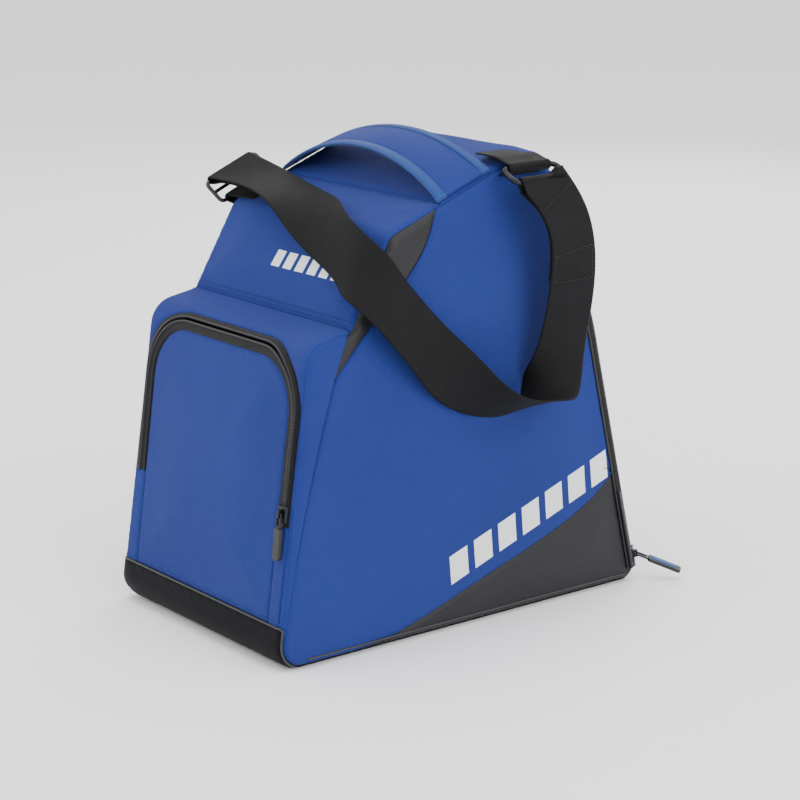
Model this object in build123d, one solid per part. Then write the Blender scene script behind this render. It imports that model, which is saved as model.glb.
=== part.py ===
from build123d import *
import os

# Ski boot bag, in millimetres. The origin is on the floor under the middle of the base.
# +Z is up, the front pocket faces -Y, the big zipped back flap faces +Y.

# ---- shell ----
HALF_WIDTH = 125.0      # half of the bag's width at the floor
TAPER = 0.0245          # half width lost per millimetre of height
WALL = 3.0              # padded fabric wall
CORNER = 9.0            # rounding of the side seams
PROUD = 1.4             # how far zipper coils and pipings stand out of the fabric

# Side outline as (y, z, rounding radius), from the front bottom corner backwards.
OUTLINE = [
    (-201.0, 0.0, 22.0),
    (204.0, 0.0, 12.0),
    (148.9, 250.0, 250.0),
    (101.0, 386.0, 32.0),
    (84.0, 406.0, 16.0),
    (30.0, 392.0, 150.0),
    (-78.0, 350.0, 18.0),
    (-120.0, 276.0, 6.0),
    (-164.0, 268.0, 25.0),
]
FRONT_BOTTOM, REAR_BOTTOM, REAR_BEND = OUTLINE[0], OUTLINE[1], OUTLINE[2]
CROWN, BROW, SHELF_BACK, SHELF_FRONT = OUTLINE[5], OUTLINE[6], OUTLINE[7], OUTLINE[8]
REAR_LEAN = (REAR_BOTTOM[0] - REAR_BEND[0]) / (REAR_BEND[1] - REAR_BOTTOM[1])
FRONT_LEAN = (SHELF_FRONT[0] - FRONT_BOTTOM[0]) / (SHELF_FRONT[1] - FRONT_BOTTOM[1])
TOP_SLOPE = (CROWN[1] - BROW[1]) / (CROWN[0] - BROW[0])

# ---- seams seen from the side, as (y, z) ----
GUSSET_SEAM = [(-193.0, 30.0), (-174.0, 116.0), (-153.0, 190.0), (-137.0, 238.0), (-120.0, 276.0)]
LEAF_EDGE = [(-137.0, 238.0), (-101.0, 276.0), (-64.0, 308.0), (-40.0, 336.0), (-29.0, 366.0)]
KICK_EDGE = [(-125.0, -10.0), (-74.0, 9.0), (37.0, 45.0), (89.0, 61.0), (143.0, 83.0), (185.0, 113.0)]
HANDLE_SEAM_Y = -25.0   # the front panel ends under the handle's front edge
BASE_TOP = 4.0
BUMPER_TOP = 38.0
BUMPER_BACK = -186.0
BUMPER_SIDE = WALL

# ---- back opening and its zipper ----
FLAP_HINGE_Z = 34.0     # the flap folds on this line
SILL_BOTTOM = 14.0
ZIP_TOP = 372.0
ZIP_RADIUS = 42.0
TAPE = 8.0              # visible width of each zipper tape
COIL_IN = 2.3           # the flap's row of coil, measured across the bag
COIL_OUT = 1.7          # the other row, which lies further round the corner
SIDE_GAP = 0.2          # half of the gap between the two coil rows
TOP_GAP = 1.8           # larger at the top, where the flap's edge rises as it opens
HINGE_GAP = 0.5
CORNER_IN = CORNER * (1 - 0.5 ** 0.5)   # how far the middle of a rounded corner lies inside the sides

# ---- front pocket and its zipper ----
POCKET_HINGE_Z = 142.0
POCKET_ZIP_BOTTOM = 121.0
POCKET_HALF = 110.0
POCKET_TOP = 261.0
POCKET_RADIUS = 54.0
POCKET_TAPE = 9.0
POCKET_BACK = -149.0

# ---- sliders and pulls ----
SLIDER = (10.4, 13.0, 1.4)
SLIDER_LIFT = 1.8
FLANGE = 1.0
LUG = (2.6, 7.0, 3.4)
PIN_HEIGHT = 5.0
PIN_RADIUS = 0.75
PIN_HOLE = 1.1
ARM = (1.2, 11.0, 1.6)
ARM_OFFSET = 2.4
LINK_END = 12.0
MAIN_SLIDER_Z = 24.5
POCKET_SLIDER_Z = 132.0
MAIN_PULL = (9.5, 32.0, 3.0)
POCKET_PULL = (8.0, 27.0, 3.0)
MAIN_PULL_TILT = 31.5   # degrees below the zipper's outward normal
POCKET_PULL_TILT = 92.0

# ---- carry handle ----
HANDLE_HALF = 110.0
HANDLE_THICK = 2.5
HANDLE_GAP = 0.1        # its ends rest on the top panel
HANDLE_STRIPS = {       # y and crown height of the front edge, then of the back edge
    "handle_binding_front": (-26.0, 407.0, -16.0, 409.5),
    "haul_handle": (-16.0, 409.5, 22.0, 417.5),
    "handle_binding_rear": (22.0, 417.5, 30.0, 418.5),
}

# ---- shoulder strap ----
STRAP_THICK = 2.0
STRAP_WIDTH = 50.0
# Upper edge then lower edge of the webbing, from the front slide round to the rear ring.
STRAP_EDGES = [
    ((-136, -34, 383), (-136, -79, 364)),
    ((-98, -33, 376), (-104, -82, 367)),
    ((-61, -40, 371), (-71, -89, 366)),
    ((-26, -48, 369), (-37, -97, 365)),
    ((6, -57, 367), (-5, -103, 352)),
    ((40, -74, 368), (26, -101, 328)),
    ((72, -92, 364), (59, -104, 317)),
    ((100, -100, 357), (88, -109, 309)),
    ((120, -98, 344), (115, -121, 300)),
    ((127, -86, 331), (132, -122, 297)),
    ((126, -71, 315), (135, -109, 283)),
    ((126, -55, 296), (136, -91, 263)),
    ((128, -37, 276), (137, -73, 243)),
    ((136, -20, 256), (135, -52, 218)),
    ((158, -9, 233), (128, -27, 199)),
    ((173, 8, 212), (131, 3, 185)),
    ((180, 37, 201), (134, 34, 182)),
    ((174, 66, 202), (130, 53, 186)),
    ((164, 89, 204), (132, 53, 201)),
    ((150, 103, 214), (141, 55, 223)),
    ((148, 109, 240), (146, 60, 248)),
    ((151, 114, 270), (148, 65, 275)),
    ((155, 115, 303), (152, 66, 303)),
    ((156, 112, 337), (158, 63, 332)),
    ((153, 103, 366), (164, 55, 359)),
    ((148, 88, 386), (153, 39, 387)),
]
RING_BAR = 5.0
RING_SIZE = (64.0, 25.0)
RING_CENTRE = (134.0, 62.0, 390.0)
RING_SHORT = (0.87, 0.0, -0.49)
SLIDE_SIZE = (62.0, 27.0, 3.6)
SLIDE_CENTRE = (-136.0, -56.0, 365.0)
SLIDE_LONG = (0.0, 0.914, 0.406)
SLIDE_SHORT = (-0.68, -0.30, 0.67)
SLEEVE_IN = 3.0
SLEEVE_OUT = 4.8
TAB_LEG = 2.0
ANCHOR_THICK = 2.2      # the tabs' sewn feet wrap the top's rounded side edges
ANCHORS = {             # side, then first and last y
    "strap_anchor_rear": (1, 38.0, 84.0),
    "strap_anchor_front": (-1, -76.0, -28.0),
}
ANCHOR_IN = 14.0

FAR = 300.0
PARTS = {}


def half_width(z):
    """Half of the bag's width at a height."""
    return HALF_WIDTH - TAPER * z


def rear_y(z):
    """The outline's straight rear edge."""
    return REAR_BOTTOM[0] - REAR_LEAN * z


def front_y(z):
    """The outline's straight front edge."""
    return FRONT_BOTTOM[0] + FRONT_LEAN * z


def top_z(y):
    """The outline's straight slope behind the brow."""
    return BROW[1] + TOP_SLOPE * (y - BROW[0])


def outline_face(grow):
    """The side outline, moved out by grow."""
    corners = [(y, z) for y, z, r in OUTLINE]
    radii = [r for y, z, r in OUTLINE]
    line = FilletPolyline(*corners, radius=radii, close=True)
    face = make_face(Plane.YZ * line)
    return face if grow == 0 else offset(face, amount=grow)


def wedge(grow):
    """Everything between the two leaning side planes, each moved out by grow."""
    low, high = half_width(-50) + grow, half_width(500) + grow
    face = make_face(Plane.XZ * Polyline((-low, -50), (low, -50), (high, 500), (-high, 500), close=True))
    return extrude(face, amount=FAR, both=True)


def body(grow):
    """The whole bag as one solid, with rounded side seams."""
    block = extrude(outline_face(grow), amount=FAR, both=True) & wedge(grow)
    seams = []
    for edge in block.edges():
        middle = edge.center()
        if abs(abs(middle.X) - half_width(middle.Z) - grow) < 0.05:
            seams.append(edge)
    return fillet(seams, CORNER + grow)


def side_prism(points):
    """A (y, z) polygon carried across the bag."""
    return extrude(make_face(Plane.YZ * Polyline(*points, close=True)), amount=FAR, both=True)


def slab(low, high):
    """Everything between two heights."""
    return Pos(0, 0, (low + high) / 2) * Box(2 * FAR, 2 * FAR, high - low)


def arch_prism(bottom, low_half, top_half, top, radius, back):
    """An inverted U with rounded upper corners, carried to the back (True) or to the front (False)."""
    points = [(low_half, bottom), (top_half, top), (-top_half, top), (-low_half, bottom)]
    line = FilletPolyline(*points, radius=[0.0, radius, radius, 0.0], close=True)
    face = make_face(Plane.XZ * line)
    return extrude(face, amount=FAR, dir=(0, 1 if back else -1, 0))


def back_arch(grow, lift=0.0, bottom=FLAP_HINGE_Z):
    """The back zipper's line, moved out by grow and raised by lift at its top."""
    top = ZIP_TOP + grow + lift
    low_half = half_width(bottom) - CORNER_IN + grow
    top_half = half_width(top) - CORNER_IN + grow
    return arch_prism(bottom, low_half, top_half, top, ZIP_RADIUS + grow, True)


def pocket_arch(grow, lift=0.0, bottom=POCKET_HINGE_Z):
    """The pocket zipper's line, moved out by grow and raised by lift at its top."""
    half = POCKET_HALF + grow
    return arch_prism(bottom, half, half, POCKET_TOP + grow + lift, POCKET_RADIUS + grow, False)


def rear_band(depth):
    """What lies within depth of the rear outline."""
    inner = [(y - depth, z) for y, z in [(rear_y(-50), -50), (REAR_BEND[0], REAR_BEND[1])]]
    inner += [(OUTLINE[3][0] - depth, OUTLINE[3][1] - 4.0), (OUTLINE[3][0] - 2 * depth, 405.0)]
    return side_prism([(FAR, -50), *inner, (FAR, 405.0)])


def largest(shape):
    """The biggest solid of a shape, without the slivers that a cut can leave."""
    return sorted(shape.solids(), key=lambda s: s.volume)[-1]


def keep(name, shape, pieces=1):
    """Stores a node made of its largest solids."""
    solids = sorted(shape.solids(), key=lambda s: s.volume)[-pieces:]
    PARTS[name] = solids[0] if pieces == 1 else Compound(children=solids)


def both_sides(name, shape):
    """Stores the +X half of a shape as NAME_right and the -X half as NAME_left."""
    right = Pos(FAR / 2, 0, 0) * Box(FAR, 3 * FAR, 4 * FAR)
    keep(name + "_right", shape & right)
    keep(name + "_left", shape - right)


def back_opening(wall, skin):
    """The back flap, the two sides of its zipper and the sill under it. Returns the space they take."""
    hinge = FLAP_HINGE_Z
    above = slab(hinge, 500)
    below = slab(SILL_BOTTOM, hinge - HINGE_GAP)
    zone = back_arch(TAPE, TOP_GAP, bottom=SILL_BOTTOM) & rear_band(CORNER)
    rear = wall & zone
    keep("back_panel", rear & back_arch(-TAPE) & above)
    keep("main_zip_tape_flap", (rear & back_arch(-SIDE_GAP) & above) - back_arch(-TAPE))
    upper = (rear - back_arch(SIDE_GAP, TOP_GAP)) & above
    stub = (rear & below) - back_arch(-TAPE, bottom=SILL_BOTTOM - 1)
    bridge = ((rear & slab(hinge - 2 * HINGE_GAP, hinge + 1)) - back_arch(SIDE_GAP, bottom=SILL_BOTTOM - 1))
    keep("main_zip_tape_body", upper + stub + bridge)
    keep("back_sill", rear & below & back_arch(-TAPE, bottom=SILL_BOTTOM - 1))
    raised = skin & zone
    keep("main_zip_coil_flap", (raised & back_arch(-SIDE_GAP) & above) - back_arch(-COIL_IN))
    coil = (raised & back_arch(COIL_OUT, TOP_GAP, bottom=SILL_BOTTOM - 1)) - back_arch(SIDE_GAP, TOP_GAP)
    low_rows = slab(SILL_BOTTOM + 3, hinge - HINGE_GAP)
    flap_row = (low_rows & back_arch(-SIDE_GAP, bottom=SILL_BOTTOM - 1)) - back_arch(-COIL_IN, bottom=SILL_BOTTOM - 1)
    coil = (coil & slab(SILL_BOTTOM + 3, 500)) - (slab(0, hinge) & back_arch(SIDE_GAP, bottom=SILL_BOTTOM - 1))
    keep("main_zip_coil_body", coil)
    keep("main_zip_coil_ends", raised & flap_row, pieces=2)
    stop = raised & slab(SILL_BOTTOM + 0.2, SILL_BOTTOM + 2.8) & back_arch(COIL_OUT, bottom=SILL_BOTTOM - 1)
    keep("main_zip_stops", stop - back_arch(-COIL_IN, bottom=SILL_BOTTOM - 1), pieces=2)
    return zone


def front_pocket(wall, skin):
    """The pocket flap, the two sides of its zipper and the panel under it. Returns the space they take."""
    hinge = POCKET_HINGE_Z
    above = slab(hinge, 500)
    below = slab(POCKET_ZIP_BOTTOM, hinge - HINGE_GAP)
    front = side_prism([(-FAR, -50), (POCKET_BACK, -50), (POCKET_BACK, 300), (-FAR, 300)])
    zone = pocket_arch(POCKET_TAPE, TOP_GAP, bottom=POCKET_ZIP_BOTTOM) & front
    lower = pocket_arch(-POCKET_TAPE, bottom=BUMPER_TOP) & front & slab(BUMPER_TOP, hinge - HINGE_GAP)
    face = wall & zone
    keep("pocket_panel", face & pocket_arch(-POCKET_TAPE) & above)
    keep("pocket_zip_tape_flap", (face & pocket_arch(-SIDE_GAP) & above) - pocket_arch(-POCKET_TAPE))
    low_bottom = POCKET_ZIP_BOTTOM - 1
    upper = (face - pocket_arch(SIDE_GAP, TOP_GAP)) & above
    stub = (face & below) - pocket_arch(-POCKET_TAPE, bottom=low_bottom)
    bridge = (face & slab(hinge - 2 * HINGE_GAP, hinge + 1)) - pocket_arch(SIDE_GAP, bottom=low_bottom)
    keep("pocket_zip_tape_body", upper + stub + bridge)
    keep("pocket_lower_panel", wall & lower)
    raised = skin & zone
    keep("pocket_zip_coil_flap", (raised & pocket_arch(-SIDE_GAP) & above) - pocket_arch(-COIL_IN))
    coil = (raised & pocket_arch(COIL_IN, TOP_GAP, bottom=low_bottom)) - pocket_arch(SIDE_GAP, TOP_GAP)
    coil = (coil & slab(POCKET_ZIP_BOTTOM + 3, 500)) - (slab(0, hinge) & pocket_arch(SIDE_GAP, bottom=low_bottom))
    keep("pocket_zip_coil_body", coil)
    low_rows = slab(POCKET_ZIP_BOTTOM + 3, hinge - HINGE_GAP)
    row = (low_rows & pocket_arch(-SIDE_GAP, bottom=low_bottom)) - pocket_arch(-COIL_IN, bottom=low_bottom)
    keep("pocket_zip_coil_ends", raised & row, pieces=2)
    stop = raised & slab(POCKET_ZIP_BOTTOM + 0.2, POCKET_ZIP_BOTTOM + 2.8) & pocket_arch(COIL_IN, bottom=low_bottom)
    keep("pocket_zip_stops", stop - pocket_arch(-COIL_IN, bottom=low_bottom), pieces=2)
    return zone + lower


def bumper_zone():
    """The black band across the bottom of the front."""
    low, high = half_width(0) - BUMPER_SIDE, half_width(BUMPER_TOP) - BUMPER_SIDE
    points = [(-low, -20), (low, -20), (high, BUMPER_TOP), (-high, BUMPER_TOP)]
    face = make_face(Plane.XZ * Polyline(*points, close=True))
    return Pos(0, BUMPER_BACK, 0) * extrude(face, amount=FAR, dir=(0, -1, 0))


def panels(wall, skin):
    """Cuts the shell's wall along its seams into the sewn panels."""
    rest = wall - back_opening(wall, skin) - front_pocket(wall, skin)
    bumper = bumper_zone()
    keep("front_bumper", rest & bumper)
    rest = rest - bumper
    curl = side_prism([(BUMPER_BACK, -10), (-150, -10), (-150, 12), (BUMPER_BACK, 12)]) & wedge(-WALL)
    base = slab(-10, BASE_TOP) + curl
    keep("base_panel", rest & base)
    rest = rest - base
    gusset = side_prism([*GUSSET_SEAM, (-120.0, 300.0), (-FAR, 300.0), (-FAR, 30.0)])
    keep("front_gusset", rest & gusset)
    rest = rest - gusset
    middle = rest & wedge(-WALL)
    front_part = side_prism([(-FAR, 200), (HANDLE_SEAM_Y, 200), (HANDLE_SEAM_Y, 500), (-FAR, 500)])
    keep("front_yoke", middle & front_part)
    behind = side_prism([(HANDLE_SEAM_Y, 300), (FAR, 300), (FAR, 500), (HANDLE_SEAM_Y, 500)])
    keep("top_panel", middle & behind)
    sides = rest - wedge(-WALL)
    leaf = side_prism([*LEAF_EDGE, (-29.0, 430.0), (-200.0, 430.0), (-200.0, 276.0), (-120.0, 276.0)])
    kick = side_prism([*KICK_EDGE, (260.0, 113.0), (260.0, -10.0)])
    both_sides("leaf_gusset", sides & leaf)
    both_sides("kick_panel", sides & kick)
    both_sides("side_panel", sides - leaf - kick)


def pipings(skin):
    """Raised pipings: round the bumper, up the rear seams and along the base."""
    frame = bumper_zone() & slab(7, BUMPER_TOP)
    inner = Pos(0, 0, -2.2) * bumper_zone()
    inner = inner & wedge(-BUMPER_SIDE - 2.2)
    keep("bumper_piping", (skin & frame) - inner)
    outer = rear_band(CORNER + 2.4) - rear_band(CORNER + 0.1)
    both_sides("rear_piping", (skin - wedge(-CORNER)) & outer & slab(16, 372))
    low = slab(9.5, 12.0) & side_prism([(-170, 0), (183, 0), (183, 30), (-170, 30)])
    both_sides("base_piping", (skin - wedge(-CORNER)) & low)


def inside(cavity):
    """The pocket's back wall, the stiff base board and the bound inner seams."""
    foot, head = (-192.0, 4.0), (-122.0, 274.0)
    thick = 2.0
    strip = side_prism([foot, (foot[0] + thick, foot[1]), (head[0] + thick, head[1]), head])
    keep("pocket_divider", cavity & strip)
    board = slab(WALL, WALL + 3.5) & side_prism([(-184, 0), (188, 0), (188, 30), (-184, 30)])
    keep("base_board", cavity & board & wedge(-WALL - 1.5))
    ribbon = extrude(outline_face(-WALL), amount=FAR, both=True)
    ribbon = ribbon - extrude(outline_face(-WALL - CORNER), amount=FAR, both=True)
    ribbon = ribbon & side_prism([(-70, 250), (60, 250), (60, 500), (-70, 500)])
    both_sides("seam_binding", cavity & (ribbon - wedge(-WALL - 1.5)))


def handle_section(y, crown):
    """The arch of the handle at one of its long edges."""
    foot = top_z(y) + HANDLE_GAP
    head = foot + HANDLE_THICK
    low_left, low_right = (-HANDLE_HALF, y, foot), (HANDLE_HALF, y, foot)
    high_left, high_right = (-HANDLE_HALF, y, head), (HANDLE_HALF, y, head)
    lower = ThreePointArc(low_left, (0, y, crown - HANDLE_THICK), low_right)
    upper = ThreePointArc(high_right, (0, y, crown), high_left)
    return Wire([lower.edge(), Line(low_right, high_right).edge(), upper.edge(), Line(high_left, low_left).edge()])


def handle():
    """The arched carry handle and the bindings along its two edges."""
    for name, (y0, crown0, y1, crown1) in HANDLE_STRIPS.items():
        keep(name, Solid.make_loft([handle_section(y0, crown0), handle_section(y1, crown1)], ruled=True))


def slider_plane(side_normal, face_normal, point, along):
    """Axes on a zipper: x across it, y along it upwards, z out of the fabric."""
    out = (Vector(*side_normal) + Vector(*face_normal)).normalized()
    up = Vector(*along).normalized()
    out = (out - up * out.dot(up)).normalized()
    return Plane(origin=point, x_dir=up.cross(out), z_dir=out)


def zip_slider(name, plane, flange_bottom):
    """The slider: a plate over the coil, a flange each side of it and a lug for the pull."""
    width, length, thick = SLIDER
    plate = Pos(0, 0, SLIDER_LIFT + thick / 2) * Box(width, length, thick)
    tall = SLIDER_LIFT - flange_bottom
    for side in (-1, 1):
        place = Pos(side * (width - FLANGE) / 2, 0, flange_bottom + tall / 2)
        plate += place * Box(FLANGE, length, tall)
    lug_width, lug_length, lug_tall = LUG
    top = SLIDER_LIFT + thick
    lug = Pos(0, 0, top + lug_tall / 2) * Box(lug_width, lug_length, lug_tall)
    hole = Pos(0, 0, PIN_HEIGHT) * Rot(0, 90, 0) * Cylinder(PIN_HOLE, 2 * lug_width)
    keep(name, plane * (plate + lug - hole))


def zip_pull(name, plane, tilt, tab):
    """The pull: a pin through the lug, two arms, an end bar, and the moulded tab beyond."""
    frame = plane * Pos(0, 0, PIN_HEIGHT) * Rot(90 + tilt, 0, 0)
    arm_width, arm_length, arm_thick = ARM
    span = 2 * ARM_OFFSET + arm_width
    link = Rot(0, 90, 0) * Cylinder(PIN_RADIUS, span)
    for side in (-1, 1):
        link += Pos(side * ARM_OFFSET, arm_length / 2 - 0.8, 0) * Box(*ARM)
    link += Pos(0, LINK_END - 1.0, 0) * Box(span, 2.0, arm_thick)
    keep(name + "_link", frame * link)
    width, length, thick = tab
    body_box = Box(width, length, thick)
    grip = fillet(body_box.edges().filter_by(Axis.Z), 2.5)
    keep(name + "_tab", frame * Pos(0, LINK_END + length / 2, 0) * grip)


def zippers():
    """Both sliders with their pulls, at their rest places."""
    x, y = half_width(MAIN_SLIDER_Z) - CORNER_IN, rear_y(MAIN_SLIDER_Z) - CORNER_IN
    along = (-TAPER, -REAR_LEAN, 1)
    main = slider_plane((1, 0, TAPER), (0, 1, REAR_LEAN), (x, y, MAIN_SLIDER_Z), along)
    zip_slider("main_zip_slider", main, -0.7)
    zip_pull("main_zip_pull", main, MAIN_PULL_TILT, MAIN_PULL)
    point = (POCKET_HALF, front_y(POCKET_SLIDER_Z), POCKET_SLIDER_Z)
    pocket = slider_plane((0, 0, 0), (0, -1, FRONT_LEAN), point, (0, FRONT_LEAN, 1))
    zip_slider("pocket_zip_slider", pocket, 0.4)
    zip_pull("pocket_zip_pull", pocket, POCKET_PULL_TILT, POCKET_PULL)
    for title, plane in (("main", main), ("pocket", pocket)):
        print(title, "slider at", plane.origin, "out", plane.z_dir, "up", plane.y_dir)
        print(title, "pin at", plane.origin + plane.z_dir * PIN_HEIGHT, "across", plane.x_dir)


def strap():
    """The shoulder strap: one webbing band through a chain of flat sections."""
    centres = [(Vector(*u) + Vector(*v)) * 0.5 for u, v in STRAP_EDGES]
    wires = []
    length = 0.0
    last = len(centres) - 1
    for i, (u, v) in enumerate(STRAP_EDGES):
        forward = (centres[min(i + 1, last)] - centres[max(i - 1, 0)]).normalized()
        across = (Vector(*u) - Vector(*v)).normalized()
        out = forward.cross(across).normalized() * (STRAP_THICK / 2)
        half = across * (STRAP_WIDTH / 2)
        corners = [centres[i] + half + out, centres[i] - half + out]
        corners += [centres[i] - half - out, centres[i] + half - out]
        wires.append(Wire.make_polygon(corners, close=True))
        if i:
            length += (centres[i] - centres[i - 1]).length
    print("strap length", round(length, 1))
    keep("shoulder_strap", Solid.make_loft(wires, ruled=True))


def sleeve(plane, across, leg):
    """Webbing round a bar: a tube along the plane's x axis, with a flat leg towards -y."""
    tube = Rot(0, 90, 0) * (Cylinder(SLEEVE_OUT, across) - Cylinder(SLEEVE_IN, 2 * across))
    if leg:
        flat = Pos(0, -SLEEVE_OUT - leg / 2 + 0.6, 0) * Box(across, leg, 2 * STRAP_THICK)
        tube += flat - Rot(0, 90, 0) * Cylinder(SLEEVE_IN + 0.5, 2 * across)
    return plane * tube


def strap_fittings():
    """The rear ring, the front slide, and the webbing sewn round their bars."""
    long_side, short_side = RING_SIZE
    frame = RectangleRounded(long_side, short_side, 7)
    frame -= RectangleRounded(long_side - 2 * RING_BAR, short_side - 2 * RING_BAR, 3)
    ring = extrude(frame, amount=RING_BAR / 2, both=True)
    ring = fillet(ring.edges().filter_by(GeomType.LINE).filter_by(Axis.X), 1.8)
    short_dir = Vector(*RING_SHORT).normalized()
    plane = Plane(origin=RING_CENTRE, x_dir=(0, 1, 0), z_dir=Vector(0, 1, 0).cross(short_dir))
    keep("strap_ring", plane * ring)
    reach = (short_side - RING_BAR) / 2
    keep("strap_loop_rear", sleeve(plane * Pos(0, reach, 0), STRAP_WIDTH - 1, 0))
    keep("strap_tab_rear", sleeve(plane * Pos(0, -reach, 0), STRAP_WIDTH - 2, TAB_LEG))
    long_side, short_side, thick = SLIDE_SIZE
    bar = 4.4
    slot = (short_side - 3 * bar) / 2
    plate = Rectangle(long_side, short_side)
    for side in (-1, 1):
        plate -= Pos(0, side * (slot + bar) / 2) * Rectangle(long_side - 2 * bar, slot)
    slide = extrude(plate, amount=thick / 2, both=True)
    slide = fillet(slide.edges().filter_by(Axis.Z), 1.0)
    long_dir = Vector(*SLIDE_LONG).normalized()
    out = long_dir.cross(Vector(*SLIDE_SHORT)).normalized()
    plane = Plane(origin=SLIDE_CENTRE, x_dir=long_dir, z_dir=out)
    keep("strap_slide", plane * slide)
    reach = (short_side - bar) / 2
    keep("strap_loop_front", sleeve(plane * Pos(0, reach, 0), STRAP_WIDTH - 1, 0))
    keep("strap_tab_front", sleeve(plane * Pos(0, -reach, 0), STRAP_WIDTH - 2, TAB_LEG))


def anchors(solid):
    """The sewn feet of the two strap tabs, wrapped over the top's side edges."""
    layer = body(ANCHOR_THICK) - solid
    top = extrude(outline_face(FAR / 10), amount=FAR, both=True)
    top = top - extrude(outline_face(-ANCHOR_IN), amount=FAR, both=True)
    for name, (side, first, last) in ANCHORS.items():
        span = side_prism([(first, 300), (last, 300), (last, 500), (first, 500)])
        half = Pos(side * (half_width(390) - ANCHOR_IN + FAR / 2), 0, 0) * Box(FAR, 3 * FAR, 4 * FAR)
        keep(name, layer & top & span & half)


def main():
    os.makedirs("parts", exist_ok=True)
    solid = body(0)
    cavity = body(-WALL)
    wall = solid - cavity
    skin = body(PROUD) - solid
    panels(wall, skin)
    pipings(skin)
    inside(cavity)
    handle()
    zippers()
    strap()
    strap_fittings()
    anchors(solid)
    for name, shape in PARTS.items():
        export_step(shape, f"parts/{name}.step")
    print(len(PARTS), "nodes")


main()
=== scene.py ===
import math

import bmesh
import bpy
import numpy as np
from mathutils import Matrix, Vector


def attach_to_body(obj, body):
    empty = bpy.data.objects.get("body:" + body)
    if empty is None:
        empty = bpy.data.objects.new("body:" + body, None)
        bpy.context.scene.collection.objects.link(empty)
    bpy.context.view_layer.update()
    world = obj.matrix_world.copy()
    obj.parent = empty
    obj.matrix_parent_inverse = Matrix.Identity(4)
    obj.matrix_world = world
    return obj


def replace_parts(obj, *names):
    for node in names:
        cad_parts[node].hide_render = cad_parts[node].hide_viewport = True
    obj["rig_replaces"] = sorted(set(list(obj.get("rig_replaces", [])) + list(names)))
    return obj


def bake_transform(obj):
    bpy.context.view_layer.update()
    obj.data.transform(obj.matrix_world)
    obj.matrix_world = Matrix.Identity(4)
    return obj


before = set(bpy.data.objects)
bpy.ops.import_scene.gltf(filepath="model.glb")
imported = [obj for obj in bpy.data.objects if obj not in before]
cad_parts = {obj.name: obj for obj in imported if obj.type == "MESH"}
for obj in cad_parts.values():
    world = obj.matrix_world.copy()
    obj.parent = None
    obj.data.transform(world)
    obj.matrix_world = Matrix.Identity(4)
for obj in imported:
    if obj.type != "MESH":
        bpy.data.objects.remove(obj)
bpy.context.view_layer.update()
rng = np.random.default_rng(7)

# The bag in metres: origin on the floor under the middle of the base, +Z up, pocket towards -Y.
MM = 0.001
TURN = 2 * math.pi
HALF_WIDTH, TAPER, CORNER = 0.125, 0.0245, 0.009
OUTLINE = np.array([     # y, z and rounding of the side outline's corners
    (-201, 0, 22), (204, 0, 12), (148.9, 250, 250), (101, 386, 32), (84, 406, 16),
    (30, 392, 150), (-78, 350, 18), (-120, 276, 6), (-164, 268, 25),
]) * MM
EDGE_DEPTH = 1.5 * MM    # the side seam lies this far in from the outline, on the unrolled side
HALF_TURN = (CORNER - EDGE_DEPTH) / CORNER
GUSSET_SEAM = np.array([(-193, 30), (-174, 116), (-153, 190), (-137, 238), (-121.5, 275)]) * MM
LEAF_SEAM = np.array([(-137, 238), (-101, 276), (-64, 308), (-40, 336), (-29, 368)]) * MM
KICK_SEAM = np.array([(-125, 1.5), (-74, 9), (37, 45), (89, 61), (143, 83), (174, 108)]) * MM
HANDLE_SEAM = (-25 * MM, 371 * MM)
SHELF_SEAM = (-120 * MM, 276 * MM)
BUMPER_TOP = 38 * MM
ZIP_BOTTOM, ZIP_TOP, ZIP_RADIUS, TAPE = 14 * MM, 373 * MM, 42 * MM, 8 * MM
POCKET_HALF, POCKET_TOP, POCKET_RADIUS = 110 * MM, 261.5 * MM, 54 * MM
POCKET_BOTTOM, POCKET_TAPE, POCKET_OUTER = 121 * MM, 9 * MM, 6.2 * MM
FLAP_FOLD, POCKET_FOLD = 34 * MM, 142 * MM
LEFT, RIGHT = -1, 1
PANEL_THICK = 2.6 * MM
ZIP_LIFT = 1.8 * MM      # extra gap over the top of each arch, between body and flap
REAR_TAPE = 8.07 * MM    # where the panels beside the back zipper are sewn to its tape


# ---------------------------------------------------------------- shader maths
class Value:
    """A number socket of a finish; arithmetic on it adds Math nodes."""

    def __init__(self, finish, socket):
        self.finish, self.socket = finish, socket

    def math(self, operation, *others):
        sockets = dict(enumerate((self, *others)))
        return self.finish.node("ShaderNodeMath", {"operation": operation}, sockets).out()

    def __add__(self, other):
        return self.math("ADD", other)

    def __sub__(self, other):
        return self.math("SUBTRACT", other)

    def __mul__(self, other):
        return self.math("MULTIPLY", other)

    def __truediv__(self, other):
        return self.math("DIVIDE", other)

    def __gt__(self, other):
        return self.math("GREATER_THAN", other)

    def __lt__(self, other):
        return self.math("LESS_THAN", other)

    __radd__, __rmul__ = __add__, __mul__

    def wave(self, length, phase=0.0):
        """A sine of the value, one turn per length."""
        return (self * (TURN / length) + phase).math("SINE")

    def size(self):
        return self.math("ABSOLUTE")


class Node:
    """A shader node, with its outputs as values."""

    def __init__(self, finish, node):
        self.finish, self.node = finish, node

    def out(self, name=0):
        return Value(self.finish, self.node.outputs[name])


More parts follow.
